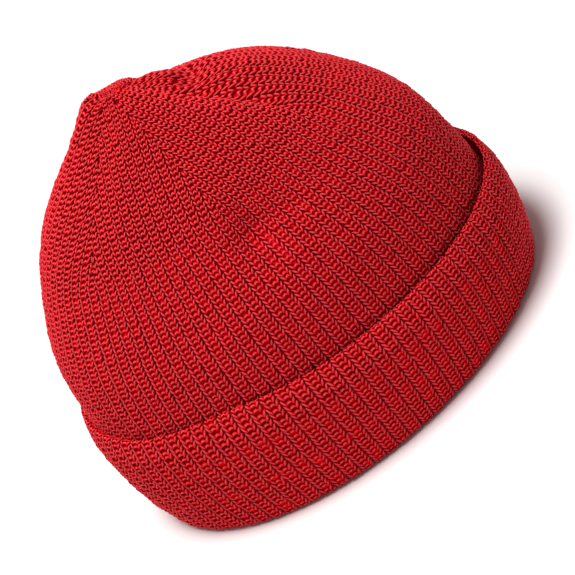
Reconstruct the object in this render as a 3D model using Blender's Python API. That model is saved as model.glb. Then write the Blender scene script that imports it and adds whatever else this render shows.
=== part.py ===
"""Knitted beanie: a ribbed crown closed by six darts, and its turned-up cuff.

Metres, +Z up. The hat stands on its rim, which lies in the plane z = 0, and the
origin is under the middle of its box. -Y is the front and -X the wearer's right.

Two numbers find a point of the cloth. A turn is the share of the way round a ring,
from the wearer's right side over the front, at even steps of the ring's length. A
rise is the share of the way up the crown's profile, from the rim to the top.
"""
import bmesh
import bpy
import numpy as np

# Driving sizes of the crown, over the crests of its ribs
HAT_HEIGHT = 0.1757
CROWN_LENGTH = 0.2033
CROWN_WIDTH = 0.1489
LEAN_BACK = 0.0056
LEAN_LEFT = 0.0076
PUCKER_DEPTH = 0.0030

# The cloth: a one by one rib, the same in both pieces
WALL = 0.0038
RIB_RELIEF = 0.0014
PANELS = 6
RIBS_IN_HALF_PANEL = 7

# The turned-up cuff
CUFF_HEIGHT = 0.0567
HEM_RISE_BACK = 0.0075
FOLD_GAP = 0.0027
HEM_GAP = 0.0020
HEM_GAP_FRONT = 0.0010
HEM_ROLL = 0.0008
REST_WIDTH = 0.0040
POLE_WALL = 1.6

# Where the crown is parted from the cuff's fold, inside the hat
PARTING_HEIGHT = 0.0100
CLEARANCE = 0.0003

# Fineness of the solids
BODY_STEPS = 7
LINING_EVERY = 4
LINING_STEPS = 11
CUFF_STEPS = (0.36, 0.68)
TABLE_POINTS = 721
PROFILE_POINTS = 400
NORMAL_STEP = 0.004

# Profile of the crown, with columns height (share of HAT_HEIGHT) and size (share of
# CROWN_LENGTH and CROWN_WIDTH)
PROFILE = (
    (0.000, 0.932),
    (0.090, 0.974),
    (0.200, 1.000),
    (0.360, 0.993),
    (0.520, 0.948),
    (0.660, 0.826),
    (0.790, 0.652),
    (0.900, 0.410),
    (0.962, 0.232),
    (0.994, 0.112),
    (1.000, 0.045),
)

# The darts in turn order, with columns name, turn where the dart begins, turn at the top
# of the crown, and depth of its furrow at the top (share of CROWN_WIDTH). They begin where
# the profile has come in to DART_START_SHARE of its widest size. From the rise
# COLUMNS_LEAN_FROM the ribs lean from even steps round the ring towards these turns.
DARTS = (
    ("right", 0.000, 0.000, 0.006),
    ("front_right", 0.148, 0.150, 0.042),
    ("front_left", 0.335, 0.338, 0.033),
    ("left", 0.500, 0.500, 0.013),
    ("back_left", 0.662, 0.660, 0.017),
    ("back_right", 0.842, 0.872, 0.021),
)
DART_START_SHARE = 0.740
COLUMNS_LEAN_FROM = 0.200
FURROW_WIDTH = 0.0100
FURROW_RAMP = 0.60

# Soft dents of the crown, with columns turn, height (share of HAT_HEIGHT), spread in turn,
# spread in height (share of HAT_HEIGHT) and depth (share of CROWN_WIDTH)
DENTS = (
    (0.010, 0.640, 0.022, 0.060, 0.016),
    (0.055, 0.660, 0.045, 0.035, 0.008),
    (0.205, 0.952, 0.051, 0.045, 0.028),
    (0.329, 0.964, 0.065, 0.050, 0.032),
    (0.415, 0.930, 0.060, 0.060, 0.010),
    (0.560, 0.700, 0.050, 0.120, 0.014),
    (0.802, 0.930, 0.070, 0.070, 0.009),
    (0.900, 0.560, 0.060, 0.150, 0.008),
)

# Lobes that stand up or sink round the top, with columns turn, size, spread in turn, spread
# in size and lift (share of HAT_HEIGHT)
LOBES = (
    (0.653, 0.144, 0.100, 0.120, 0.022),
    (0.381, 0.372, 0.050, 0.100, -0.018),
    (0.431, 0.191, 0.060, 0.080, -0.009),
    (0.898, 0.200, 0.060, 0.100, -0.005),
)
POLE_FADE = 0.200

# Waves of the cuff's upper edge, with columns turn, spread in turn and rise (share of
# CUFF_HEIGHT)
HEM_WAVES = (
    (0.795, 0.060, -0.024),
    (0.900, 0.050, 0.036),
)

CLOTH_COLOUR = (0.45, 0.010, 0.016, 1.0)
CLOTH_ROUGHNESS = 0.85

COLUMNS = PANELS * RIBS_IN_HALF_PANEL * 4
LINING_COLUMNS = COLUMNS // LINING_EVERY


def smooth_step(value):
    """Ease from 0 to 1 while value goes from 0 to 1."""
    value = np.clip(value, 0.0, 1.0)
    return value * value * (3.0 - 2.0 * value)


def profile_curve():
    """Smooth curve through PROFILE: rises with their heights and sizes."""
    rows = np.array(PROFILE + ((1.0 - PUCKER_DEPTH / HAT_HEIGHT, 0.0),))
    reach = np.array([HAT_HEIGHT, (CROWN_LENGTH + CROWN_WIDTH) / 4.0])
    knots = np.concatenate([[0.0], np.cumsum(np.linalg.norm(np.diff(rows * reach, axis=0), axis=1))])
    slopes = np.gradient(rows, knots, axis=0)
    along = np.linspace(0.0, knots[-1], PROFILE_POINTS)
    step = np.clip(np.searchsorted(knots, along, side="right") - 1, 0, len(knots) - 2)
    span = (knots[step + 1] - knots[step])[:, None]
    part = ((along - knots[step]) / span[:, 0])[:, None]
    rest = 1.0 - part
    curve = rows[step] * rest * rest * (1.0 + 2.0 * part) + rows[step + 1] * part * part * (1.0 + 2.0 * rest)
    curve += span * part * rest * (slopes[step] * rest - slopes[step + 1] * part)
    return along / along[-1], curve[:, 0], curve[:, 1]


RISES, HEIGHTS, SIZES = profile_curve()


def turn_angles():
    """Angles round the plan's oval at even steps of its length."""
    angle = np.linspace(0.0, 2.0 * np.pi, TABLE_POINTS)
    middle = (angle[1:] + angle[:-1]) / 2.0
    pace = np.hypot(CROWN_LENGTH * np.cos(middle), CROWN_WIDTH * np.sin(middle))
    length = np.concatenate([[0.0], np.cumsum(pace)])
    return length / length[-1], angle


TURNS, ANGLES = turn_angles()


def oval(turn):
    """Direction on the plan at each turn: a point of the crown's widest ring."""
    angle = np.interp(np.mod(turn, 1.0), TURNS, ANGLES)
    return np.stack([-CROWN_WIDTH / 2.0 * np.cos(angle), -CROWN_LENGTH / 2.0 * np.sin(angle)], axis=-1)


def oval_normal(turn):
    """Outward direction, square to the oval at each turn."""
    angle = np.interp(np.mod(turn, 1.0), TURNS, ANGLES)
    normal = np.stack([-CROWN_LENGTH * np.cos(angle), -CROWN_WIDTH * np.sin(angle)], axis=-1)
    return normal / np.linalg.norm(normal, axis=-1, keepdims=True)


def turn_gap(turn, place):
    """Distance between two turns, the short way round."""
    return np.mod(turn - place + 0.5, 1.0) - 0.5


def rise_at_size(size):
    """Rise at which the crown's narrowing top has come in to a size."""
    top = int(np.argmax(SIZES))
    return float(np.interp(-size, -SIZES[top:], RISES[top:]))


def rise_at_height(height):
    """Rise at which the crown's wall is at a height above the rim."""
    return float(np.interp(height / HAT_HEIGHT, HEIGHTS[: PROFILE_POINTS // 2], RISES[: PROFILE_POINTS // 2]))


DART_START_RISE = rise_at_size(DART_START_SHARE)


def dart_turns(rise):
    """Turns of the six darts' lines at each rise, below the darts those of their ribs."""
    rise = np.asarray(rise, float)[..., None]
    foot = np.arange(PANELS) / PANELS
    start = np.array([row[1] for row in DARTS])
    top = np.array([row[2] for row in DARTS])
    climb = smooth_step((rise - COLUMNS_LEAN_FROM) / (DART_START_RISE - COLUMNS_LEAN_FROM))
    close = smooth_step((rise - DART_START_RISE) / (1.0 - DART_START_RISE))
    return foot + (start - foot) * climb + (top - start) * close


def furrows(turn, rise, size):
    """Depth of the darts' furrows, which deepen towards the top."""
    ring_length = np.pi * (CROWN_LENGTH + CROWN_WIDTH) / 2.0 * np.maximum(size, 0.02)
    away = turn_gap(turn[..., None], dart_turns(rise)) * ring_length[..., None] / FURROW_WIDTH
    shares = np.array([row[3] for row in DARTS])
    ramp = smooth_step((DART_START_SHARE - size) / (DART_START_SHARE * FURROW_RAMP))
    return np.sum(shares * CROWN_WIDTH * np.exp(-away * away), axis=-1) * ramp


def dents(turn, height):
    """Depth of the crown's soft dents."""
    depth = np.zeros_like(turn)
    for place, level, wide, tall, share in DENTS:
        away = (turn_gap(turn, place) / wide) ** 2 + ((height - level) / tall) ** 2
        depth = depth + share * CROWN_WIDTH * np.exp(-away)
    return depth


def lobes(turn, size):
    """Lift of the crown's lobes round its top."""
    lift = np.zeros_like(turn)
    for place, level, wide, tall, share in LOBES:
        away = (turn_gap(turn, place) / wide) ** 2 + ((size - level) / tall) ** 2
        lift = lift + share * HAT_HEIGHT * np.exp(-away)
    return lift


def crown_point(turn, rise):
    """Points of the crown over the crests of its ribs."""
    turn, rise = np.broadcast_arrays(np.asarray(turn, float), np.asarray(rise, float))
    height = np.interp(rise, RISES, HEIGHTS)
    size = np.interp(rise, RISES, SIZES)
    fade = smooth_step(size / POLE_FADE)
    inward = (furrows(turn, rise, size) + dents(turn, height)) * fade
    plan = oval(turn) * size[..., None] - oval_normal(turn) * inward[..., None]
    lean = np.clip(height, 0.0, 1.0) ** 3
    level = HAT_HEIGHT * height + lobes(turn, size) * fade
    return np.stack([plan[..., 0] + LEAN_LEFT * lean, plan[..., 1] + LEAN_BACK * lean, level], axis=-1)


def crown_normal(turn, rise):
    """Outward directions, square to the crown."""
    across = crown_point(turn + NORMAL_STEP, rise) - crown_point(turn - NORMAL_STEP, rise)
    above = np.minimum(rise + NORMAL_STEP, 1.0)
    below = np.maximum(rise - NORMAL_STEP, 0.0)
    normal = np.cross(across, crown_point(turn, above) - crown_point(turn, below))
    return normal / np.maximum(np.linalg.norm(normal, axis=-1, keepdims=True), 1e-9)


def rib_turns(ribs, rise):
    """Turns of the crests and grooves of a ring with so many ribs in each half panel."""
    darts = dart_turns(rise)
    following = np.append(darts[1:], darts[0] + 1.0)
    places = np.arange(4 * ribs) / (4.0 * ribs)
    turns = darts[:, None] + (following - darts)[:, None] * places
    return turns.ravel()


def rib_relief(count):
    """Depth below the crests: none on a crest, all of it in a groove."""
    return np.where(np.arange(count) % 2 == 1, 0.0, RIB_RELIEF)


def same_column(count):
    """Partners of a ring's points in a ring of the same count."""
    return np.arange(count)


def fewer_columns(count, fewer):
    """Partners of a ring's points in a coarser ring."""
    return np.round(np.arange(count) * fewer / count).astype(int) % fewer


def lost_rib(ribs):
    """Partners of a ring's points where the last rib of each half panel ends at its dart."""
    steps = np.arange(PANELS * 4 * ribs)
    panel, place = np.divmod(steps, 4 * ribs)
    kept = np.clip(place - 2, 0, 4 * (ribs - 1))
    return (panel * 4 * (ribs - 1) + kept) % (PANELS * 4 * (ribs - 1))


def add_ring(mesh, points):
    """Vertices of one ring."""
    return [mesh.verts.new(point) for point in points]


def join_rings(mesh, lower, upper, partner):
    """Faces between two rings; partner gives each lower point's place in the upper ring."""
    for index, here in enumerate(lower):
        after = (index + 1) % len(lower)
        above_here = upper[partner[index]]
        above_after = upper[partner[after]]
        if above_here is above_after:
            mesh.faces.new((here, lower[after], above_here))
        else:
            mesh.faces.new((here, lower[after], above_after, above_here))


def join_down(mesh, lower, upper, partner):
    """As join_rings, with the faces turned to the hollow."""
    for index, here in enumerate(lower):
        after = (index + 1) % len(lower)
        above_here = upper[partner[index]]
        above_after = upper[partner[after]]
        if above_here is above_after:
            mesh.faces.new((lower[after], here, above_here))
        else:
            mesh.faces.new((lower[after], here, above_here, above_after))


def close_ring(mesh, ring, pole):
    """Faces from a ring to one point."""
    for index, here in enumerate(ring):
        mesh.faces.new((here, ring[(index + 1) % len(ring)], pole))


def cloth_material(name):
    """Plain red cloth."""
    material = bpy.data.materials.new(name)
    material.use_nodes = True
    shader = material.node_tree.nodes["Principled BSDF"]
    shader.inputs["Base Color"].default_value = CLOTH_COLOUR
    shader.inputs["Roughness"].default_value = CLOTH_ROUGHNESS
    shader.inputs["Metallic"].default_value = 0.0
    return material


def finish(mesh, name, centre):
    """Object from a closed mesh, moved so that the hat's middle is over the origin."""
    bmesh.ops.translate(mesh, verts=mesh.verts, vec=(-centre[0], -centre[1], 0.0))
    bmesh.ops.triangulate(mesh, faces=mesh.faces)
    data = bpy.data.meshes.new(name)
    mesh.to_mesh(data)
    mesh.free()
    data.materials.append(cloth_material(name + "_cloth"))
    data.shade_smooth()
    data.set_sharp_from_angle(angle=np.radians(30.0))
    made = bpy.data.objects.new(name, data)
    bpy.context.scene.collection.objects.link(made)
    return made


def crown_mesh():
    """The knitted tube above the parting, with its darts and its hollow."""
    mesh = bmesh.new()
    start = rise_at_height(PARTING_HEIGHT + CLEARANCE)
    relief = rib_relief(COLUMNS)[:, None]

    # outer face, from the parting to the darts
    rings = []
    for rise in np.linspace(start, DART_START_RISE, BODY_STEPS + 1):
        turns = rib_turns(RIBS_IN_HALF_PANEL, rise)
        points = crown_point(turns, rise) - crown_normal(turns, rise) * relief
        if not rings:
            points[:, 2] = PARTING_HEIGHT + CLEARANCE
        rings.append(add_ring(mesh, points))
    for lower, upper in zip(rings, rings[1:]):
        join_rings(mesh, lower, upper, same_column(COLUMNS))
    foot, last = rings[0], rings[-1]

    # darts: each ring has one rib less in every half panel
    for ribs in range(RIBS_IN_HALF_PANEL - 1, 0, -1):
        rise = rise_at_size(DART_START_SHARE * ribs / RIBS_IN_HALF_PANEL)
        turns = rib_turns(ribs, rise)
        depth = rib_relief(len(turns))[:, None]
        ring = add_ring(mesh, crown_point(turns, rise) - crown_normal(turns, rise) * depth)
        join_rings(mesh, last, ring, lost_rib(ribs + 1))
        last = ring
    pole = crown_point(0.0, 1.0)
    close_ring(mesh, last, mesh.verts.new(pole))

    # inner face, one wall inside, without ribs
    lining_top = rise_at_size(DART_START_SHARE / RIBS_IN_HALF_PANEL)
    inner = []
    for rise in np.linspace(start, lining_top, LINING_STEPS + 1):
        turns = rib_turns(RIBS_IN_HALF_PANEL, rise)[::LINING_EVERY]
        points = crown_point(turns, rise) - crown_normal(turns, rise) * WALL
        if not inner:
            points[:, 2] = PARTING_HEIGHT + CLEARANCE
        inner.append(add_ring(mesh, points))
    join_down(mesh, foot, inner[0], fewer_columns(COLUMNS, LINING_COLUMNS))
    for lower, upper in zip(inner, inner[1:]):
        join_down(mesh, lower, upper, same_column(LINING_COLUMNS))
    below = pole - np.array([0.0, 0.0, WALL * POLE_WALL])
    close_ring(mesh, inner[-1][::-1], mesh.verts.new(below))
    return mesh


def hem_height(turn):
    """Height of the cuff's upper edge, which rises towards the back in soft waves."""
    height = CUFF_HEIGHT + HEM_RISE_BACK * oval(turn)[:, 1] / (CROWN_LENGTH / 2.0)
    for place, wide, share in HEM_WAVES:
        height = height + share * CUFF_HEIGHT * np.exp(-((turn_gap(turn, place) / wide) ** 2))
    return height


def cuff_gap(turn, share):
    """Air between the crown and the cuff, from the fold (0) to the hem (1)."""
    front = -oval(turn)[:, 1] / (CROWN_LENGTH / 2.0)
    at_hem = HEM_GAP + HEM_GAP_FRONT * front
    return FOLD_GAP + (at_hem - FOLD_GAP) * share


def beside_crown(turn, height, offset):
    """Points at a level distance outside the crown's wall."""
    height = np.broadcast_to(height, turn.shape)
    low = RISES[: PROFILE_POINTS // 2]
    rise = np.interp(np.maximum(height, 0.0) / HAT_HEIGHT, HEIGHTS[: PROFILE_POINTS // 2], low)
    points = crown_point(turn, rise)
    points[:, :2] += oval_normal(turn) * np.broadcast_to(offset, turn.shape)[:, None]
    points[:, 2] = height
    return points


def cuff_mesh():
    """The fold at the rim and the wall that it turns up outside the crown."""
    mesh = bmesh.new()
    turns = rib_turns(RIBS_IN_HALF_PANEL, 0.0)
    relief = rib_relief(COLUMNS)
    hem = hem_height(turns)
    fold_width = 2.0 * WALL + FOLD_GAP
    bend = (fold_width - REST_WIDTH) / 2.0
    inner_bend = FOLD_GAP / 2.0
    outside = FOLD_GAP + WALL
    slant = np.sin(np.pi / 4.0)
    rows = []

    # inner leg, down the inside of the hat and round to the ring that rests
    rows.append(beside_crown(turns, PARTING_HEIGHT, -WALL))
    rows.append(beside_crown(turns, bend, -WALL))
    rows.append(beside_crown(turns, bend * (1.0 - slant), -WALL + bend * (1.0 - slant)))
    rows.append(beside_crown(turns, 0.0, -WALL + bend))
    rows.append(beside_crown(turns, 0.0, outside - bend))

    # outer bend and the ribbed outer face
    rows.append(beside_crown(turns, bend * (1.0 - slant), outside - bend * (1.0 - slant) - relief * slant))
    rows.append(beside_crown(turns, bend, outside - relief))
    for share in CUFF_STEPS:
        rows.append(beside_crown(turns, hem * share, cuff_gap(turns, share) + WALL - relief))
    at_hem = cuff_gap(turns, 1.0)
    rows.append(beside_crown(turns, hem - 2.0 * HEM_ROLL - WALL / 2.0, at_hem + WALL - relief))

    # rolled edge
    rows.append(beside_crown(turns, hem - WALL / 2.0, at_hem + WALL + HEM_ROLL - relief / 2.0))
    rows.append(beside_crown(turns, hem, at_hem + WALL * 0.75 + HEM_ROLL / 2.0))
    rows.append(beside_crown(turns, hem, at_hem + WALL * 0.30))
    rows.append(beside_crown(turns, hem - WALL / 2.0, at_hem))

    # inner face of the turned-up wall, the inside of the fold, and the inner leg's outside
    rows.append(beside_crown(turns, hem * 0.5, cuff_gap(turns, 0.5)))
    rows.append(beside_crown(turns, WALL + inner_bend, FOLD_GAP))
    rows.append(beside_crown(turns, WALL, FOLD_GAP / 2.0))
    rows.append(beside_crown(turns, WALL + inner_bend, 0.0))
    rows.append(beside_crown(turns, PARTING_HEIGHT, 0.0))

    rings = [add_ring(mesh, points) for points in rows]
    for here, after in zip(rings, rings[1:] + rings[:1]):
        join_rings(mesh, here, after, same_column(COLUMNS))
    return mesh


def middle_of_box(mesh):
    """Middle of a mesh's box on the plan."""
    points = np.array([vertex.co for vertex in mesh.verts])
    return (points.min(axis=0) + points.max(axis=0)) / 2.0


for old in list(bpy.data.objects):
    bpy.data.objects.remove(old, do_unlink=True)

cuff = cuff_mesh()
hat_middle = middle_of_box(cuff)
finish(crown_mesh(), "crown", hat_middle)
finish(cuff, "cuff", hat_middle)
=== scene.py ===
import bmesh
import bpy
import numpy as np
from mathutils import Matrix, Vector


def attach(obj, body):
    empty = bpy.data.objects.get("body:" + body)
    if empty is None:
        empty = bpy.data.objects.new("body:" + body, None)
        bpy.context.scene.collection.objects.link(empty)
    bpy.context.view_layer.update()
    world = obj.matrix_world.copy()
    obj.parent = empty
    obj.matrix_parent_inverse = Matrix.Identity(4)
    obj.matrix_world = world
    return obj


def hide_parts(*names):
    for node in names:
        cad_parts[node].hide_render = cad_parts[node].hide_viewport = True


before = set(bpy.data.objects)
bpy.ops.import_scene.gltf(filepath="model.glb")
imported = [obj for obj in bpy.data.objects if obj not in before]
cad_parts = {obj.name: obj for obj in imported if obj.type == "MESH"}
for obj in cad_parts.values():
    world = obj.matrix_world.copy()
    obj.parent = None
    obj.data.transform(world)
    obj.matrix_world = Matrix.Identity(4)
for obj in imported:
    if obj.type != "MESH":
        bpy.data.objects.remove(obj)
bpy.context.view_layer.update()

# The crown's cloth: the backing of a one by one rib, knitted as a tube and narrowed by six
# darts until it closes at the top. It is one soft layer of red yarn, drawn together at the
# pole and pressed into a few dents.
HAT_HEIGHT = 0.1757
CROWN_LENGTH = 0.2033
CROWN_WIDTH = 0.1489
LEAN_BACK = 0.0056
LEAN_LEFT = 0.0076
PUCKER_DEPTH = 0.0030
WALL = 0.0038
PANELS = 6
RIBS_IN_PANEL = 14
HAT_MIDDLE = (0.00022983, -0.00101325, 0.0)
PARTING_HEIGHT = 0.0103
PROFILE_POINTS = 400
TABLE_POINTS = 721
NORMAL_STEP = 0.004
SMALLEST_RING = 0.02

# a turn is the share of the way round the hat, from the wearer's right over the front, and a
# rise the share of the way up the crown's profile

# columns: height (share of HAT_HEIGHT), size (share of CROWN_LENGTH and CROWN_WIDTH)
PROFILE = (
    (0.000, 0.932),
    (0.090, 0.974),
    (0.200, 1.000),
    (0.360, 0.993),
    (0.520, 0.948),
    (0.660, 0.826),
    (0.790, 0.652),
    (0.900, 0.410),
    (0.962, 0.232),
    (0.994, 0.112),
    (1.000, 0.045),
)

# columns: name, turn where the dart begins, turn at the top, depth of its furrow at the top
# (share of CROWN_WIDTH)
DARTS = (
    ("right", 0.000, 0.000, 0.006),
    ("front_right", 0.148, 0.150, 0.042),
    ("front_left", 0.335, 0.338, 0.033),
    ("left", 0.500, 0.500, 0.013),
    ("back_left", 0.662, 0.660, 0.017),
    ("back_right", 0.842, 0.872, 0.021),
)
DART_START_SHARE = 0.740
COLUMNS_LEAN_FROM = 0.200
FURROW_WIDTH = 0.0100
FURROW_RAMP = 0.60

# columns: turn, height (share of HAT_HEIGHT), spread in turn, spread in height, depth (share
# of CROWN_WIDTH)
DENTS = (
    (0.010, 0.640, 0.022, 0.060, 0.016),
    (0.055, 0.660, 0.045, 0.035, 0.008),
    (0.205, 0.952, 0.051, 0.045, 0.028),
    (0.329, 0.964, 0.065, 0.050, 0.032),
    (0.415, 0.930, 0.060, 0.060, 0.010),
    (0.560, 0.700, 0.050, 0.120, 0.014),
    (0.802, 0.930, 0.070, 0.070, 0.009),
    (0.900, 0.560, 0.060, 0.150, 0.008),
)

# columns: turn, size, spread in turn, spread in size, lift (share of HAT_HEIGHT)
LOBES = (
    (0.653, 0.144, 0.100, 0.120, 0.022),
    (0.381, 0.372, 0.050, 0.100, -0.018),
    (0.431, 0.191, 0.060, 0.080, -0.009),
    (0.898, 0.200, 0.060, 0.100, -0.005),
)
POLE_FADE = 0.200

# finer folds, with columns turn, size, spread in turn, spread in size, swell outwards
FOLDS = (
    (-0.400, 0.150, 0.100, 0.100, 0.0014),
    (0.440, 0.210, 0.070, 0.070, 0.0030),
    (0.300, 0.230, 0.045, 0.060, 0.0016),
    (0.212, 0.280, 0.030, 0.045, 0.0018),
    (0.240, 0.350, 0.046, 0.040, -0.0052),
    (0.152, 0.400, 0.015, 0.080, -0.0044),
    (0.188, 0.375, 0.022, 0.045, -0.0030),
    (0.149, 0.580, 0.010, 0.110, -0.0036),
    (0.200, 0.520, 0.030, 0.090, 0.0018),
    (0.112, 0.480, 0.022, 0.120, 0.0016),
    (0.000, 0.560, 0.010, 0.200, -0.0010),
    (0.012, 0.820, 0.014, 0.070, -0.0030),
    (0.050, 0.760, 0.018, 0.120, -0.0012),
    (-0.020, 0.720, 0.020, 0.100, 0.0010),
)

UPRIGHT_SIZE = 0.110
POLE_SINK = 0.0020
ROW_PITCH = 0.0023
BACKING_DEPTH = 0.0011
GROOVE_DEPTH = 0.0007
BACKING_THICKNESS = 0.0014
CLOTH_COLUMNS_IN_PANEL = 28
CLOTH_ROWS = 60
CLOTH_WELD = 1e-6
SHINE_TINT = (1.0, 0.50, 0.55, 1.0)
CLOTH_ROUGHNESS = 0.80
CLOTH_SHINE = 0.0
CLOTH_FIBRE_SCALE = 5.0
CLOTH_LOOP_BEND = 0.35
CLOTH_RELIEF = 0.0008
# the cloth's colours, from the painted shade of its grooves (DARK) to its lit rib crests (LIGHT)
BACKING_DARK = (0.60, 0.0001, 0.0036, 1.0)
BACKING_LIGHT = (0.96, 0.0003, 0.0070, 1.0)
INSIDE_DARK = (0.34, 0.0004, 0.004, 1.0)
INSIDE_LIGHT = (0.70, 0.003, 0.012, 1.0)


def smooth_step(value):
    """Ease from 0 to 1 while value goes from 0 to 1."""
    value = np.clip(value, 0.0, 1.0)
    return value * value * (3.0 - 2.0 * value)


def profile_curve():
    """Smooth curve through PROFILE: its length, and rises with their heights and sizes."""
    rows = np.array(PROFILE + ((1.0 - PUCKER_DEPTH / HAT_HEIGHT, 0.0),))
    reach = np.array([HAT_HEIGHT, (CROWN_LENGTH + CROWN_WIDTH) / 4.0])
    spans = np.linalg.norm(np.diff(rows * reach, axis=0), axis=1)
    knots = np.concatenate([[0.0], np.cumsum(spans)])
    slopes = np.gradient(rows, knots, axis=0)
    along = np.linspace(0.0, knots[-1], PROFILE_POINTS)
    step = np.clip(np.searchsorted(knots, along, side="right") - 1, 0, len(knots) - 2)
    span = (knots[step + 1] - knots[step])[:, None]
    part = ((along - knots[step]) / span[:, 0])[:, None]
    rest = 1.0 - part
    curve = rows[step] * rest * rest * (1.0 + 2.0 * part)
    curve = curve + rows[step + 1] * part * part * (1.0 + 2.0 * rest)
    curve += span * part * rest * (slopes[step] * rest - slopes[step + 1] * part)
    return along[-1], along / along[-1], curve[:, 0], curve[:, 1]


PROFILE_LENGTH, RISES, HEIGHTS, SIZES = profile_curve()


def turn_angles():
    """Angles round the plan's oval at even steps of its length."""
    angle = np.linspace(0.0, 2.0 * np.pi, TABLE_POINTS)
    middle = (angle[1:] + angle[:-1]) / 2.0
    pace = np.hypot(CROWN_LENGTH * np.cos(middle), CROWN_WIDTH * np.sin(middle))
    length = np.concatenate([[0.0], np.cumsum(pace)])
    return length / length[-1], angle


TURNS, ANGLES = turn_angles()


def oval(turn):
    """Point of the crown's widest ring at each turn."""
    angle = np.interp(np.mod(turn, 1.0), TURNS, ANGLES)
    across = -CROWN_WIDTH / 2.0 * np.cos(angle)
    return np.stack([across, -CROWN_LENGTH / 2.0 * np.sin(angle)], axis=-1)


def oval_normal(turn):
    """Outward direction, square to the oval at each turn."""
    angle = np.interp(np.mod(turn, 1.0), TURNS, ANGLES)
    normal = np.stack([-CROWN_LENGTH * np.cos(angle), -CROWN_WIDTH * np.sin(angle)], axis=-1)
    return normal / np.linalg.norm(normal, axis=-1, keepdims=True)


def turn_gap(turn, place):
    """Distance between two turns, the short way round."""
    return np.mod(turn - place + 0.5, 1.0) - 0.5


def rise_at_size(size):
    """Rise at which the crown's narrowing top has come in to a size."""
    top = int(np.argmax(SIZES))
    return float(np.interp(-size, -SIZES[top:], RISES[top:]))


def rise_at_height(height):
    """Rise at which the crown's wall is at a height above the rim."""
    low = PROFILE_POINTS // 2
    return np.interp(height / HAT_HEIGHT, HEIGHTS[:low], RISES[:low])


DART_START_RISE = rise_at_size(DART_START_SHARE)


def dart_turns(rise):
    """Turns of the six darts' lines at each rise."""
    rise = np.asarray(rise, float)[..., None]
    foot = np.arange(PANELS) / PANELS
    start = np.array([row[1] for row in DARTS])
    top = np.array([row[2] for row in DARTS])
    climb = smooth_step((rise - COLUMNS_LEAN_FROM) / (DART_START_RISE - COLUMNS_LEAN_FROM))
    close = smooth_step((rise - DART_START_RISE) / (1.0 - DART_START_RISE))
    return foot + (start - foot) * climb + (top - start) * close


def crown_point(turn, rise):
    """Points of the crown over the crests of its ribs."""
    turn, rise = np.broadcast_arrays(np.asarray(turn, float), np.asarray(rise, float))
    height = np.interp(rise, RISES, HEIGHTS)
    size = np.interp(rise, RISES, SIZES)
    ring_length = np.pi * (CROWN_LENGTH + CROWN_WIDTH) / 2.0 * np.maximum(size, SMALLEST_RING)
    away = turn_gap(turn[..., None], dart_turns(rise)) * ring_length[..., None] / FURROW_WIDTH
    ramp = smooth_step((DART_START_SHARE - size) / (DART_START_SHARE * FURROW_RAMP))
    shares = np.array([row[3] for row in DARTS])
    inward = np.sum(shares * CROWN_WIDTH * np.exp(-away * away), axis=-1) * ramp
    for place, level, wide, tall, share in DENTS:
        away = (turn_gap(turn, place) / wide) ** 2 + ((height - level) / tall) ** 2
        inward = inward + share * CROWN_WIDTH * np.exp(-away)
    lift = np.zeros_like(turn)
    for place, level, wide, tall, share in LOBES:
        away = (turn_gap(turn, place) / wide) ** 2 + ((size - level) / tall) ** 2
        lift = lift + share * HAT_HEIGHT * np.exp(-away)
    fade = smooth_step(size / POLE_FADE)
    plan = oval(turn) * size[..., None] - oval_normal(turn) * (inward * fade)[..., None]
    lean = np.clip(height, 0.0, 1.0) ** 3
    level = HAT_HEIGHT * height + lift * fade
    left = plan[..., 0] + LEAN_LEFT * lean
    return np.stack([left, plan[..., 1] + LEAN_BACK * lean, level], axis=-1)


def crown_normal(turn, rise):
    """Outward directions, square to the crown."""
    across = crown_point(turn + NORMAL_STEP, rise) - crown_point(turn - NORMAL_STEP, rise)
    above = np.minimum(rise + NORMAL_STEP, 1.0)
    below = np.maximum(rise - NORMAL_STEP, 0.0)
    normal = np.cross(across, crown_point(turn, above) - crown_point(turn, below))
    return normal / np.maximum(np.linalg.norm(normal, axis=-1, keepdims=True), 1e-9)


def crown_layer(turn, rise, depth):
    """Points of the crown at a depth under its crests, with the finer folds."""
    size = np.interp(rise, RISES, SIZES)
    swell = -np.asarray(depth, float)
    upright = smooth_step(1.0 - size / UPRIGHT_SIZE)[..., None]
    normal = crown_normal(turn, rise) * (1.0 - upright) + np.array([0.0, 0.0, 1.0]) * upright
    for place, level, wide, tall, lift in FOLDS:
        away = (turn_gap(turn, place) / wide) ** 2 + ((size - level) / tall) ** 2
        swell = swell + lift * np.exp(-away)
    return crown_point(turn, rise) + normal * swell[..., None]


def half_panel_ribs(rise):
    """Ribs from a panel's middle to its dart, fewer and fewer above the dart's start."""
    share = np.interp(rise, RISES, SIZES) / DART_START_SHARE
    above = np.asarray(rise) > DART_START_RISE
    return RIBS_IN_PANEL / 2.0 * np.where(above, np.minimum(share, 1.0), 1.0)


def panel_turn(panel, place, rise):
    """Turn at a place in a panel, from 0 at its first dart to 1 at the next."""
    darts = dart_turns(rise)
    darts = np.concatenate([darts, darts[..., :1] + 1.0], axis=-1)
    panel = np.broadcast_to(panel, darts.shape[:-1])[..., None]
    first = np.take_along_axis(darts, panel, axis=-1)[..., 0]
    second = np.take_along_axis(darts, panel + 1, axis=-1)[..., 0]
    return first + (second - first) * place


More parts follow.
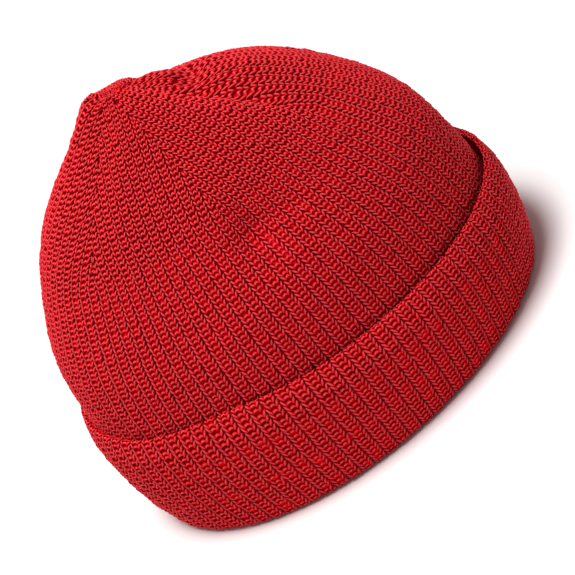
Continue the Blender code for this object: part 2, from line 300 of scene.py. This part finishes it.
class Wire:
    """A socket of a material; sums of wires add their Math nodes."""

    def __init__(self, tree, socket=None):
        self.tree = tree
        self.socket = socket

    def node(self, kind, settings, values, output=0):
        made = self.tree.nodes.new(kind)
        for name, value in settings.items():
            setattr(made, name, value)
        for name, value in values.items():
            if isinstance(value, Wire):
                self.tree.links.new(value.socket, made.inputs[name])
            else:
                made.inputs[name].default_value = value
        return Wire(self.tree, made.outputs[output])

    def math(self, operation, first, second=0.0):
        return self.node("ShaderNodeMath", {"operation": operation}, {0: first, 1: second})

    def __add__(self, other):
        return self.math("ADD", self, other)

    def __radd__(self, other):
        return self.math("ADD", other, self)

    def __sub__(self, other):
        return self.math("SUBTRACT", self, other)

    def __rsub__(self, other):
        return self.math("SUBTRACT", other, self)

    def __mul__(self, other):
        return self.math("MULTIPLY", self, other)

    def __rmul__(self, other):
        return self.math("MULTIPLY", other, self)

    def wave(self):
        """Sine of this value in whole turns, moved to the range from 0 to 1."""
        return self.math("SINE", self * (2.0 * np.pi)) * 0.5 + 0.5


def yarn_material(name, roughness, shine):
    """Principled shader for yarn with a reddened shine, and its tree as a wire."""
    material = bpy.data.materials.new(name)
    material.use_nodes = True
    shader = material.node_tree.nodes["Principled BSDF"]
    shader.inputs["Roughness"].default_value = roughness
    shader.inputs["Specular IOR Level"].default_value = shine
    shader.inputs["Specular Tint"].default_value = SHINE_TINT
    return material, shader, Wire(material.node_tree)


def mixed_colour(tree, factor, first, second):
    """Colour between two colours."""
    return tree.node(
        "ShaderNodeMix", {"data_type": "RGBA"}, {"Factor": factor, 6: first, 7: second}, 2
    )


def cloth_material(name, dark, light):
    """Red loops in rows across and ribs along the cloth, with painted shade: darker in the
    grooves between ribs and between rows of loops, lighter on the crests.
    """
    material, shader, tree = yarn_material(name, CLOTH_ROUGHNESS, CLOTH_SHINE)
    knit = tree.node("ShaderNodeUVMap", {"uv_map": "knit"}, {})
    rib = tree.node("ShaderNodeSeparateXYZ", {}, {0: knit}, 0)
    row = tree.node("ShaderNodeSeparateXYZ", {}, {0: knit}, 1)
    crest = (rib - 0.25).wave()
    loops = (row + CLOTH_LOOP_BEND * (2.0 * rib).wave()).wave()
    fibre = tree.node(
        "ShaderNodeTexNoise", {}, {"Vector": knit, "Scale": CLOTH_FIBRE_SCALE, "Detail": 3.0}
    )
    height = 0.6 * crest + 0.5 * loops + 0.2 * fibre
    # painted shade: darker in the grooves between ribs and between rows of loops, lighter on the
    # rib crests; the fibre noise is the cloth's own uneven tone
    shade = 0.8 * crest + 0.2 * loops + 0.3 * fibre - 0.2
    colour = mixed_colour(tree, shade, dark, light)
    tree.tree.links.new(colour.socket, shader.inputs["Base Color"])
    bump = tree.node(
        "ShaderNodeBump", {}, {"Height": height, "Strength": 0.9, "Distance": CLOTH_RELIEF}
    )
    tree.tree.links.new(bump.socket, shader.inputs["Normal"])
    return material


def wrapped_cloth(name, columns, rows, place_cloth, place_knit):
    """Piece from a flat grid that is laid on its form, with the knit's columns and rows as UV."""
    mesh = bmesh.new()
    layer = mesh.loops.layers.uv.new("knit")
    bmesh.ops.create_grid(mesh, x_segments=columns, y_segments=rows, size=0.5, calc_uvs=True)
    across = np.array([vertex.co.x for vertex in mesh.verts]) + 0.5
    along = np.array([vertex.co.y for vertex in mesh.verts]) + 0.5
    for vertex, point in zip(mesh.verts, place_cloth(across, along)):
        vertex.co = point
    for face in mesh.faces:
        corners = np.array([loop[layer].uv for loop in face.loops])
        for loop, place in zip(face.loops, place_knit(corners)):
            loop[layer].uv = place
    bmesh.ops.remove_doubles(mesh, verts=mesh.verts, dist=CLOTH_WELD)
    bmesh.ops.recalc_face_normals(mesh, faces=mesh.faces)
    if mesh.calc_volume(signed=True) < 0.0:
        bmesh.ops.reverse_faces(mesh, faces=mesh.faces)
    bmesh.ops.translate(mesh, verts=mesh.verts, vec=-Vector(HAT_MIDDLE))
    data = bpy.data.meshes.new(name)
    mesh.to_mesh(data)
    mesh.free()
    data.shade_smooth()
    made = bpy.data.objects.new(name, data)
    bpy.context.scene.collection.objects.link(made)
    return made


def crown_backing(across, along):
    """Points of the crown's backing for places on its flat grid."""
    low = rise_at_height(PARTING_HEIGHT)
    rise = low + (1.0 - low) * along
    panel = np.minimum((across * PANELS).astype(int), PANELS - 1)
    turn = panel_turn(panel, across * PANELS - panel, rise)
    sink = POLE_SINK * smooth_step(1.0 - np.interp(rise, RISES, SIZES) / (2.0 * UPRIGHT_SIZE))
    groove = np.maximum(np.cos(2.0 * np.pi * PANELS * RIBS_IN_PANEL * across), 0.0)
    groove = np.where(rise < DART_START_RISE, groove, 1.0)
    return crown_layer(turn, rise, BACKING_DEPTH + sink + GROOVE_DEPTH * groove)


def crown_knit(corners):
    """Rib and row numbers at the corners of one face of the crown."""
    low = rise_at_height(PARTING_HEIGHT)
    rise = low + (1.0 - low) * corners[:, 1]
    panel = min(int(corners[:, 0].mean() * PANELS), PANELS - 1)
    place = corners[:, 0] * PANELS - panel
    rib = (panel + 0.5) * RIBS_IN_PANEL + (place - 0.5) * 2.0 * half_panel_ribs(rise)
    return np.stack([rib, rise * PROFILE_LENGTH / ROW_PITCH], axis=-1)


backing = cloth_material("knit_backing", BACKING_DARK, BACKING_LIGHT)
inside = cloth_material("knit_inside", INSIDE_DARK, INSIDE_LIGHT)
crown_cloth = wrapped_cloth(
    "crown_cloth", PANELS * CLOTH_COLUMNS_IN_PANEL, CLOTH_ROWS, crown_backing, crown_knit
)
crown_cloth.data.materials.append(inside)
crown_cloth.data.materials.append(backing)
wall = crown_cloth.modifiers.new("wall", "SOLIDIFY")
wall.thickness = BACKING_THICKNESS
wall.offset = -1.0
wall.material_offset = 1
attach(crown_cloth, "root")
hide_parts("crown")

# The crown's stitches: every stitch on a rib's right side is one loop of plied yarn, a leg up
# from the groove, a head that stands out in the middle and a leg down to the next groove.
# They are knitted in rounds, and the outermost rib of each half panel is cast off at its dart.
YARN_SIDES = 5
YARN_WELD = 1e-7
YARN_IRREGULAR = 0.00013
RIB_PITCH = 0.0060
ROW_DRIFT = 0.0008
STITCH_START_HEIGHT = 0.0400
STITCH_TOP_SIZE = 0.015
STITCH_TOP_RISE = 0.999
DART_SQUEEZE = 0.0012
DART_OVERLAP_RIBS = 0.25
LAST_RIBS = 0.55
LOOP_LENGTH = 0.0140
TWIST_PITCH = 0.0016
YARN_ROUGHNESS = 0.55
YARN_SHINE = 0.04
YARN_RELIEF = 0.00015
FIBRE_SCALE = 1800.0
BLOTCH_SCALE = 60.0
# the yarn's colours, from painted shade on its sides (DARK) to a painted highlight on its outward
# ridge (LIGHT); random tone also moves between them
YARN_DARK = (0.46, 0.0001, 0.003, 1.0)
YARN_LIGHT = (0.90, 0.005, 0.015, 1.0)
# painted highlight: a pink glint on the yarn's ridge at each loop's head
GLINT_COLOUR = (1.0, 0.20, 0.22, 1.0)
GLINT_STRENGTH = 0.55
# painted shade at the loops' ends, down in the grooves between ribs
GROOVE_SHADE_COLOUR = (0.20, 0.0001, 0.0015, 1.0)
GROOVE_SHADE_STRENGTH = 0.55
SEED = 7

# a loop's middle line from the groove on one side of its rib to the groove on the other, with
# columns distance from the rib's middle, height above the row's line, depth below the ribs'
# crests, and the yarn's radius
LOOP = (
    (-0.00270, 0.00120, 0.00200, 0.00044),
    (-0.00236, 0.00090, 0.00104, 0.00060),
    (-0.00190, 0.00005, 0.00076, 0.00068),
    (-0.00142, -0.00080, 0.00090, 0.00064),
    (-0.00094, -0.00070, 0.00132, 0.00054),
    (-0.00040, -0.00010, 0.00090, 0.00068),
    (0.00022, 0.00015, 0.00084, 0.00070),
    (0.00082, -0.00050, 0.00132, 0.00054),
    (0.00136, -0.00085, 0.00094, 0.00064),
    (0.00184, -0.00005, 0.00084, 0.00068),
    (0.00226, 0.00080, 0.00106, 0.00060),
    (0.00262, 0.00120, 0.00200, 0.00044),
)


def loop_template():
    """One closed loop of yarn: corners in metres, faces, and places along and round the yarn."""
    line = np.array(LOOP)[:, :3] * (1.0, 1.0, -1.0)
    heading = np.gradient(line, axis=0)
    heading /= np.linalg.norm(heading, axis=1, keepdims=True)
    out = np.array([0.0, 0.0, 1.0]) - heading * heading[:, 2:]
    out /= np.linalg.norm(out, axis=1, keepdims=True)
    side = np.cross(heading, out)
    line, out, side = (np.pad(part, ((1, 1), (0, 0)), mode="edge") for part in (line, out, side))
    radii = np.pad(np.array(LOOP)[:, 3], 1)
    mesh = bmesh.new()
    layer = mesh.loops.layers.uv.new("yarn")
    steps = len(line) - 1
    bmesh.ops.create_grid(mesh, x_segments=steps, y_segments=YARN_SIDES, size=0.5, calc_uvs=True)
    for vertex in mesh.verts:
        step = int(round((vertex.co.x + 0.5) * steps))
        angle = (vertex.co.y + 0.5) * 2.0 * np.pi
        spoke = out[step] * np.cos(angle) + side[step] * np.sin(angle)
        vertex.co = line[step] + spoke * radii[step]
    bmesh.ops.remove_doubles(mesh, verts=mesh.verts, dist=YARN_WELD)
    bmesh.ops.recalc_face_normals(mesh, faces=mesh.faces)
    mesh.verts.index_update()
    corners = np.array([vertex.co for vertex in mesh.verts])
    faces = [[loop.vert.index for loop in face.loops] for face in mesh.faces]
    places = np.array([loop[layer].uv for face in mesh.faces for loop in face.loops])
    mesh.free()
    return corners, faces, places


def joined_loops(name, points, template, tones):
    """Piece with one copy of the loop for each row of points."""
    corners, faces, places = template
    count = len(points)
    sizes = np.array([len(face) for face in faces])
    joined = np.concatenate(faces)
    data = bpy.data.meshes.new(name)
    data.vertices.add(count * len(corners))
    data.vertices.foreach_set("co", (points - HAT_MIDDLE).ravel())
    data.loops.add(count * len(joined))
    steps = np.arange(count)[:, None]
    data.loops.foreach_set("vertex_index", (joined + steps * len(corners)).ravel())
    data.polygons.add(count * len(faces))
    starts = np.concatenate([[0], np.cumsum(sizes)[:-1]])
    data.polygons.foreach_set("loop_start", (starts + steps * len(joined)).ravel())
    data.update(calc_edges=True)
    data.uv_layers.new(name="yarn").data.foreach_set("uv", np.tile(places, (count, 1)).ravel())
    tone = data.attributes.new("tone", "FLOAT", "POINT")
    tone.data.foreach_set("value", np.repeat(tones, len(corners)))
    data.shade_smooth()
    made = bpy.data.objects.new(name, data)
    bpy.context.scene.collection.objects.link(made)
    return made


def plied_yarn():
    """Red yarn of three twisted plies, a little lighter and darker from loop to loop, with
    painted highlights on its outward ridge and painted shade on its sides and in the grooves.
    """
    material, shader, tree = yarn_material("knit_yarn", YARN_ROUGHNESS, YARN_SHINE)
    yarn = tree.node("ShaderNodeUVMap", {"uv_map": "yarn"}, {})
    along = tree.node("ShaderNodeSeparateXYZ", {}, {0: yarn}, 0)
    around = tree.node("ShaderNodeSeparateXYZ", {}, {0: yarn}, 1)
    tone = tree.node("ShaderNodeAttribute", {"attribute_name": "tone"}, {}, 2)
    place = tree.node("ShaderNodeTexCoord", {}, {}, 3)
    plies = (2.0 * around + (LOOP_LENGTH / TWIST_PITCH) * along).wave()
    noise = {"Vector": place, "Scale": FIBRE_SCALE, "Detail": 2.0}
    fibre = tree.node("ShaderNodeTexNoise", {}, noise)
    blotch = tree.node("ShaderNodeTexNoise", {}, {**noise, "Scale": BLOTCH_SCALE})
    # painted highlight and shade: lighter along the yarn's outward ridge, darker on its sides;
    # tone and blotch are the yarn's own uneven colour
    crest = (around + 0.25).wave()
    ridge = crest * crest * crest
    shade = 0.9 * ridge * ridge + 0.15 * tone + 0.15 * plies + 0.15 * fibre + 0.2 * blotch - 0.3
    colour = mixed_colour(tree, shade, YARN_DARK, YARN_LIGHT)
    # painted highlight: pink glints along the outward ridge at the loops' heads
    head = (3.0 * along + 0.75).wave()
    glint = ridge * ridge * ridge * ridge * head
    colour = mixed_colour(tree, GLINT_STRENGTH * glint, colour, GLINT_COLOUR)
    # painted shade: the loop's ends, down in the grooves between ribs, are darker
    groove = (along + 0.25).wave()
    colour = mixed_colour(tree, GROOVE_SHADE_STRENGTH * groove * groove, colour, GROOVE_SHADE_COLOUR)
    tree.tree.links.new(colour.socket, shader.inputs["Base Color"])
    height = 0.7 * plies + 0.5 * fibre
    bump = tree.node(
        "ShaderNodeBump", {}, {"Height": height, "Strength": 0.8, "Distance": YARN_RELIEF}
    )
    tree.tree.links.new(bump.socket, shader.inputs["Normal"])
    return material


def crown_loops(panel, template, chance):
    """Corners of all the loops of one panel of the crown, and a tone for each loop."""
    corners = template[0]
    low = rise_at_height(STITCH_START_HEIGHT)
    first_row = int(low * PROFILE_LENGTH / ROW_PITCH)
    last_row = int(rise_at_size(STITCH_TOP_SIZE) * PROFILE_LENGTH / ROW_PITCH)
    columns = np.arange(RIBS_IN_PANEL) - (RIBS_IN_PANEL - 1) / 2.0
    ribs, rows = np.meshgrid(columns, np.arange(first_row, last_row + 1))
    ribs, rows = ribs.ravel(), rows.ravel()
    room = half_panel_ribs(rows * ROW_PITCH / PROFILE_LENGTH)
    kept = np.abs(ribs) < np.maximum(room + DART_OVERLAP_RIBS, LAST_RIBS)
    ribs, rows = ribs[kept][:, None], rows[kept][:, None]
    loose = chance.normal(0.0, YARN_IRREGULAR, (len(ribs), 3))
    drift = chance.uniform(-ROW_DRIFT, ROW_DRIFT, RIBS_IN_PANEL)
    loose[:, 1] += drift[(ribs[:, 0] + RIBS_IN_PANEL / 2.0).astype(int)]
    rib = ribs + (corners[:, 0] + loose[:, :1]) / RIB_PITCH
    rise = (rows * ROW_PITCH + corners[:, 1] + loose[:, 1:2]) / PROFILE_LENGTH
    rise = np.minimum(rise, STITCH_TOP_RISE)
    room = half_panel_ribs(rise)
    over = np.maximum(np.abs(rib) - room, 0.0)
    place = 0.5 + np.clip(rib, -room, room) / (2.0 * room)
    turn = panel_turn(panel, place, rise)
    depth = -corners[:, 2] - loose[:, 2:] + DART_SQUEEZE * np.minimum(over, 1.0)
    return crown_layer(turn, rise, depth), chance.random(len(ribs))


template = loop_template()
chance = np.random.default_rng(SEED)
yarn = plied_yarn()
for panel in range(PANELS):
    points, tones = crown_loops(panel, template, chance)
    stitches = joined_loops("crown_stitches_" + DARTS[panel][0], points, template, tones)
    stitches.data.materials.append(yarn)
    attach(stitches, "root")

# The cuff's cloth: the lower end of the same tube, folded outwards and up round the crown.
# Its fold stands on the floor, pressed flat by the hat's weight, and its edge is the soft
# roll that the first rows of the knitting make. The face that shows is the tube's inside.
CUFF_HEIGHT = 0.0567
HEM_RISE_BACK = 0.0075
FOLD_GAP = 0.0027
HEM_GAP = 0.0020
HEM_GAP_FRONT = 0.0010
HEM_TUCK = 0.0017
HEM_TUCK_DEPTH = 0.0120
ROLL_CORE = 0.0009
REST_WIDTH = 0.0040
CUFF_CLEARANCE = 0.0003
REST_HEIGHT = 0.0008
CUFF_BACKING_DEPTH = 0.0011
CUFF_COLUMNS = 252
CUFF_STEPS = (0.36, 0.68)
CUFF_KNIT_ROWS = 60.0
INSIDE_BELOW = 0.05

# columns: turn, spread in turn, rise (share of CUFF_HEIGHT)
HEM_WAVES = (
    (0.795, 0.060, -0.024),
    (0.900, 0.050, 0.036),
)


def hem_height(turn):
    """Height of the cuff's upper edge, which rises towards the back in soft waves."""
    height = CUFF_HEIGHT + HEM_RISE_BACK * oval(turn)[..., 1] / (CROWN_LENGTH / 2.0)
    for place, wide, share in HEM_WAVES:
        height = height + share * CUFF_HEIGHT * np.exp(-((turn_gap(turn, place) / wide) ** 2))
    return height


def cuff_gap(turn, share):
    """Air between the crown and the cuff, from the fold (0) to the hem (1)."""
    front = -oval(turn)[..., 1] / (CROWN_LENGTH / 2.0)
    return FOLD_GAP + (HEM_GAP + HEM_GAP_FRONT * front - FOLD_GAP) * share


def beside_crown(turn, height, offset):
    """Points at a level distance outside the crown's wall."""
    points = crown_point(turn, rise_at_height(np.maximum(height, 0.0)))
    points[..., :2] += oval_normal(turn) * np.asarray(offset)[..., None]
    points[..., 2] = height
    return points


def cuff_ring(turn, ring):
    """Height and offset of one of the rings round the cuff's cross section."""
    hem = hem_height(turn)
    bend = (2.0 * WALL + FOLD_GAP - REST_WIDTH) / 2.0
    outside = FOLD_GAP + WALL
    slant = 1.0 - np.sin(np.pi / 4.0)
    groove = np.cos(2.0 * np.pi * PANELS * RIBS_IN_PANEL * turn)
    back = CUFF_BACKING_DEPTH + GROOVE_DEPTH * np.maximum(groove, 0.0)
    roll = hem - WALL / 2.0
    core = cuff_gap(turn, 1.0) + WALL / 2.0 - HEM_TUCK
    parting = PARTING_HEIGHT - CUFF_CLEARANCE
    rings = (
        (parting, -WALL),
        (bend, -WALL),
        (bend * slant, -WALL + bend * slant),
        (REST_HEIGHT, -WALL + bend),
        (REST_HEIGHT, outside - bend),
        (bend * slant + back * 0.7, outside - bend * slant - back * 0.7),
        (bend + back * 0.3, outside - back),
        (hem * CUFF_STEPS[0], cuff_gap(turn, CUFF_STEPS[0]) + WALL - back),
        (hem * CUFF_STEPS[1], cuff_gap(turn, CUFF_STEPS[1]) + WALL - back),
        (roll - ROLL_CORE, core + ROLL_CORE),
        (roll + ROLL_CORE * 0.5, core + ROLL_CORE * 0.8),
        (roll + ROLL_CORE, core),
        (roll + ROLL_CORE * 0.5, core - ROLL_CORE * 0.8),
        (roll - ROLL_CORE, core - ROLL_CORE),
        (hem - HEM_TUCK_DEPTH, cuff_gap(turn, 0.75)),
        (hem * 0.5, cuff_gap(turn, 0.5)),
        (WALL + FOLD_GAP / 2.0, FOLD_GAP),
        (WALL, FOLD_GAP / 2.0),
        (WALL + FOLD_GAP / 2.0, 0.0),
        (parting, 0.0),
    )
    height, offset = rings[ring % len(rings)]
    return len(rings), height + 0.0 * turn, offset + 0.0 * turn


CUFF_RINGS = cuff_ring(np.zeros(1), 0)[0]


def cuff_backing(across, along):
    """Points of the cuff's backing for places on its flat grid."""
    rings = np.round(along * CUFF_RINGS).astype(int)
    points = np.zeros((len(across), 3))
    for ring in range(CUFF_RINGS + 1):
        here = rings == ring
        height, offset = cuff_ring(across[here], ring)[1:]
        points[here] = beside_crown(across[here], height, offset)
    return points


def cuff_knit(corners):
    """Rib and row numbers at the corners of one face of the cuff."""
    return corners * (PANELS * RIBS_IN_PANEL, CUFF_KNIT_ROWS)


cuff_cloth = wrapped_cloth("cuff_cloth", CUFF_COLUMNS, CUFF_RINGS, cuff_backing, cuff_knit)
cuff_cloth.data.materials.append(backing)
cuff_cloth.data.materials.append(inside)
for face in cuff_cloth.data.polygons:
    level = face.center.z
    middle = Vector((face.center.x, face.center.y, 0.0))
    if level < INSIDE_BELOW and face.normal.dot(middle) < 0.0:
        face.material_index = 1
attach(cuff_cloth, "root")
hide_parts("cuff")

# The cuff's stitches: the same loops of yarn on the same ribs, since a one by one rib looks
# alike on both faces. Each round has one loop on every rib, and the rounds follow the fold's
# bend down to where the hat rests.
CUFF_ROUNDS = 24
FIRST_ROUND = 1
ROLL_ROUNDS = 3
ROLL_FLATTENING = 0.45


def cuff_face(turn, row, out):
    """Points over the cuff's outer face; rows count up from the fold's bottom to the hem."""
    hem = hem_height(turn)
    bend = (2.0 * WALL + FOLD_GAP - REST_WIDTH) / 2.0
    roll = WALL / 2.0
    arc = bend * np.pi / 2.0
    face = hem - roll - bend
    length = row / CUFF_ROUNDS * (arc + face)
    low = np.clip(length / bend, -0.5, np.pi / 2.0)
    high = np.clip((length - arc - face) / roll, 0.0, np.pi)
    straight = np.clip(length - arc, 0.0, face)
    nearness = smooth_step(1.0 - (hem - bend - straight) / HEM_TUCK_DEPTH)
    out = out * (1.0 - ROLL_FLATTENING * nearness)
    height = bend - (bend + out) * np.cos(low) + straight + (roll + out) * np.sin(high)
    inward = bend - (bend + out) * np.sin(low) + (roll + out) * (1.0 - np.cos(high))
    offset = cuff_gap(turn, (bend + straight) / hem) + WALL - HEM_TUCK * nearness - inward
    return beside_crown(turn, height, offset)


def cuff_loops(first_rib, ribs, template, chance):
    """Corners of the loops of some of the cuff's ribs, and a tone for each loop."""
    corners = template[0]
    ribs = np.arange(first_rib, first_rib + ribs)
    ribs, rows = np.meshgrid(ribs, np.arange(FIRST_ROUND, CUFF_ROUNDS + ROLL_ROUNDS))
    ribs, rows = ribs.ravel()[:, None], rows.ravel()[:, None]
    loose = chance.normal(0.0, YARN_IRREGULAR, (len(ribs), 3))
    drift = chance.uniform(-ROW_DRIFT, ROW_DRIFT, PANELS * RIBS_IN_PANEL)
    loose[:, 1] += drift[ribs[:, 0]]
    turn = (ribs + 0.5 + (corners[:, 0] + loose[:, :1]) / RIB_PITCH) / (PANELS * RIBS_IN_PANEL)
    row = rows + (corners[:, 1] + loose[:, 1:2]) / ROW_PITCH
    return cuff_face(turn, row, corners[:, 2] + loose[:, 2:]), chance.random(len(ribs))


for side, first_rib in (("front", 0), ("back", PANELS * RIBS_IN_PANEL // 2)):
    points, tones = cuff_loops(first_rib, PANELS * RIBS_IN_PANEL // 2, template, chance)
    stitches = joined_loops("cuff_stitches_" + side, points, template, tones)
    stitches.data.materials.append(yarn)
    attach(stitches, "root")

# The studio: a pale floor that the hat stands on, and a wide soft light above it and to the
# left of the camera.
FLOOR_REACH = 6.0
FLOOR_COLOUR = (0.97, 0.97, 0.97, 1.0)
FLOOR_ROUGHNESS = 0.9
SKY_COLOUR = (1.0, 1.0, 1.0, 1.0)
SKY_STRENGTH = 0.20

floor_mesh = bmesh.new()
bmesh.ops.create_grid(floor_mesh, x_segments=1, y_segments=1, size=FLOOR_REACH)
floor_data = bpy.data.meshes.new("floor")
floor_mesh.to_mesh(floor_data)
floor_mesh.free()
floor = bpy.data.objects.new("floor", floor_data)
bpy.context.scene.collection.objects.link(floor)
paper = bpy.data.materials.new("floor_paper")
paper.use_nodes = True
paper_shader = paper.node_tree.nodes["Principled BSDF"]
paper_shader.inputs["Base Color"].default_value = FLOOR_COLOUR
paper_shader.inputs["Roughness"].default_value = FLOOR_ROUGHNESS
floor_data.materials.append(paper)

world = bpy.data.worlds.new("studio")
world.use_nodes = True
world.node_tree.nodes["Background"].inputs["Color"].default_value = SKY_COLOUR
world.node_tree.nodes["Background"].inputs["Strength"].default_value = SKY_STRENGTH
bpy.context.scene.world = world
bpy.context.scene.view_settings.view_transform = "Standard"

# The camera stands level with the hat's right side and above it, rolled so that the hat's top
# points to the picture's upper left, as the photograph shows it.
CAMERA_DISTANCE = 1.400
CAMERA_LENS = 202.9
CAMERA_AZIMUTH = np.radians(-1.64)
CAMERA_ELEVATION = np.radians(30.10)
CAMERA_ROLL = np.radians(39.23)
CAMERA_AIM = Vector((-0.00023, 0.00101, 0.0700))
FRAME_RIGHT = 0.01088
FRAME_DOWN = 0.01174

toward = Vector(
    (
        -np.cos(CAMERA_AZIMUTH) * np.cos(CAMERA_ELEVATION),
        -np.sin(CAMERA_AZIMUTH) * np.cos(CAMERA_ELEVATION),
        np.sin(CAMERA_ELEVATION),
    )
)
level = Vector((np.sin(CAMERA_AZIMUTH), -np.cos(CAMERA_AZIMUTH), 0.0))
upright = toward.cross(level)
picture_right = level * np.cos(CAMERA_ROLL) - upright * np.sin(CAMERA_ROLL)
picture_up = level * np.sin(CAMERA_ROLL) + upright * np.cos(CAMERA_ROLL)
camera_data = bpy.data.cameras.new("camera")
camera_data.lens = CAMERA_LENS
camera = bpy.data.objects.new("camera", camera_data)
bpy.context.scene.collection.objects.link(camera)
bpy.context.scene.camera = camera
camera_place = CAMERA_AIM + toward * CAMERA_DISTANCE
seen = CAMERA_AIM + picture_right * FRAME_RIGHT - picture_up * FRAME_DOWN
back = (camera_place - seen).normalized()
right = picture_up.cross(back).normalized()
up = back.cross(right)
axes = Matrix((right, up, back)).transposed()
camera.matrix_world = Matrix.Translation(camera_place) @ axes.to_4x4()

# The key light: one soft round lamp, placed by shares to the picture's right, up it and
# towards the camera, and turned to the middle of what the camera sees.
LIGHT_RIGHT = -0.64
LIGHT_UP = 0.56
LIGHT_TOWARD = 0.58
LIGHT_DISTANCE = 1.6
LIGHT_WIDTH = 0.9
LIGHT_POWER = 33.5

light_data = bpy.data.lights.new("key_light", "AREA")
light_data.shape = "DISK"
light_data.size = LIGHT_WIDTH
light_data.energy = LIGHT_POWER
light = bpy.data.objects.new("key_light", light_data)
bpy.context.scene.collection.objects.link(light)
way = picture_right * LIGHT_RIGHT + picture_up * LIGHT_UP + toward * LIGHT_TOWARD
way.normalize()
turned = way.to_track_quat("Z", "Y").to_matrix().to_4x4()
light.matrix_world = Matrix.Translation(seen + way * LIGHT_DISTANCE) @ turned
